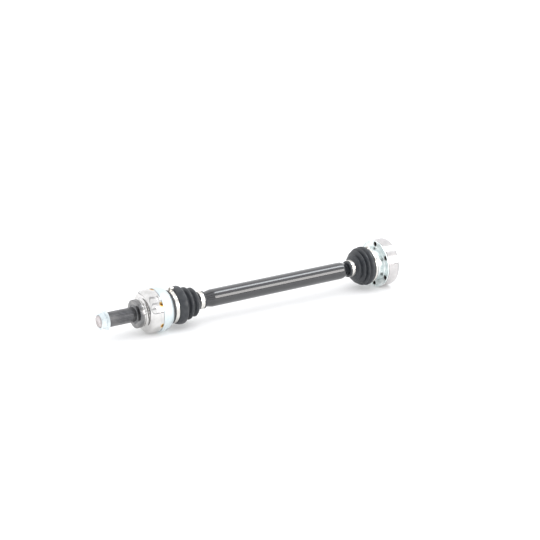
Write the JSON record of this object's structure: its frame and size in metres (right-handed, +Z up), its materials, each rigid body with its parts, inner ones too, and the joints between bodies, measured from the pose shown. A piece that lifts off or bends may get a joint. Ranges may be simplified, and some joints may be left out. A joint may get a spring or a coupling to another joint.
{
  "type": "cv axle",
  "caption": "Car drive axle: black tube bar with a ball joint and ribbed boot at each end, splined stub with nut at the wheel, bolted ring at the gearbox.",
  "frame": {"origin": "on the axle's line, at mid-length of its box", "axes": "+X along the axle from the wheel's stub towards the gearbox's ring, +Z up, with two of the six bolt holes on the Z line"},
  "size_m": [0.692, 0.0996, 0.0996],
  "materials": {
    "bright_steel": "bright turned steel with fine lathe marks",
    "bearing_steel": "ground and polished bearing steel",
    "spring_steel": "dark phosphated spring steel",
    "zinc_nut": "pale blue zinc plate, satin",
    "zinc_can": "pale blue zinc plate, satin",
    "zinc_cover": "pale blue zinc plate, satin",
    "band_steel": "bare stainless strip, satin",
    "black_paint": "gloss black paint",
    "boot_rubber": "satin black moulded rubber",
    "gasket": "grey-brown gasket fibre, matt"
  },
  "bodies": {
    "shaft": {"shaft": "black_paint", "outer_small_clamp": "band_steel", "inner_small_clamp": "band_steel", "outer_race": "bearing_steel", "inner_race": "bearing_steel", "outer_circlip": "spring_steel", "inner_circlip": "spring_steel", "outer_washer": "spring_steel", "inner_washer": "spring_steel"},
    "outer_first_ball": {"outer_ball_1": "bearing_steel"},
    "outer_cage": {"outer_cage": "bearing_steel", "outer_ball_2": "bearing_steel", "outer_ball_3": "bearing_steel", "outer_ball_5": "bearing_steel", "outer_ball_6": "bearing_steel", "outer_boot": "boot_rubber"},
    "outer_last_ball": {"outer_ball_4": "bearing_steel"},
    "wheel_stub": {"outer_housing": "bright_steel", "axle_nut": "zinc_nut", "outer_can": "zinc_can", "outer_large_clamp": "band_steel"},
    "inner_first_ball": {"inner_ball_1": "bearing_steel"},
    "inner_cage": {"inner_cage": "bearing_steel", "inner_ball_2": "bearing_steel", "inner_ball_3": "bearing_steel", "inner_ball_5": "bearing_steel", "inner_ball_6": "bearing_steel"},
    "inner_last_ball": {"inner_ball_4": "bearing_steel"},
    "inner_boot": {"inner_boot": "boot_rubber"},
    "gearbox_ring": {"inner_ring": "bright_steel", "inner_cover": "zinc_cover", "inner_gasket": "gasket", "inner_cap": "zinc_cover", "inner_large_clamp": "band_steel"}
  },
  "joints": [
    {"name": "outer_yaw", "type": "hinge", "parent": "shaft", "child": "outer_first_ball", "pos_m": [-0.22, 0, 0], "axis": [0, -0.0017, 1], "range_deg": [-9, 9], "deforming": ["outer_boot"]},
    {"name": "outer_pitch", "type": "hinge", "parent": "outer_first_ball", "child": "outer_cage", "pos_m": [-0.22, 0, 0], "axis": [0, 1, 0.0017], "range_deg": [-9, 9]},
    {"name": "outer_pitch_rest", "type": "hinge", "parent": "outer_cage", "child": "outer_last_ball", "pos_m": [-0.22, 0, 0], "axis": [0, 1, 0.0017], "range_deg": [-9, 9]},
    {"name": "outer_yaw_rest", "type": "hinge", "parent": "outer_last_ball", "child": "wheel_stub", "pos_m": [-0.22, 0, 0], "axis": [0, -0.0017, 1], "range_deg": [-9, 9]},
    {"name": "inner_yaw", "type": "hinge", "parent": "shaft", "child": "inner_first_ball", "pos_m": [0.322, 0, 0], "axis": [0, -0.0017, 1], "range_deg": [-6, 6], "deforming": ["inner_boot"]},
    {"name": "inner_pitch", "type": "hinge", "parent": "inner_first_ball", "child": "inner_cage", "pos_m": [0.322, 0, 0], "axis": [0, 1, 0.0017], "range_deg": [-6, 6]},
    {"name": "inner_pitch_rest", "type": "hinge", "parent": "inner_cage", "child": "inner_last_ball", "pos_m": [0.322, 0, 0], "axis": [0, 1, 0.0017], "range_deg": [-6, 6]},
    {"name": "inner_yaw_rest", "type": "hinge", "parent": "inner_last_ball", "child": "inner_boot", "pos_m": [0.322, 0, 0], "axis": [0, -0.0017, 1], "range_deg": [-6, 6]},
    {"name": "inner_plunge", "type": "slide", "parent": "inner_boot", "child": "gearbox_ring", "axis": [1, 0, 0], "range_m": [-0.005, 0.005]}
  ],
  "couplings": [
    {"joint": "outer_pitch_rest", "follows": "outer_pitch", "ratio": 1},
    {"joint": "outer_yaw_rest", "follows": "outer_yaw", "ratio": 1},
    {"joint": "inner_pitch_rest", "follows": "inner_pitch", "ratio": 1},
    {"joint": "inner_yaw_rest", "follows": "inner_yaw", "ratio": 1}
  ]
}
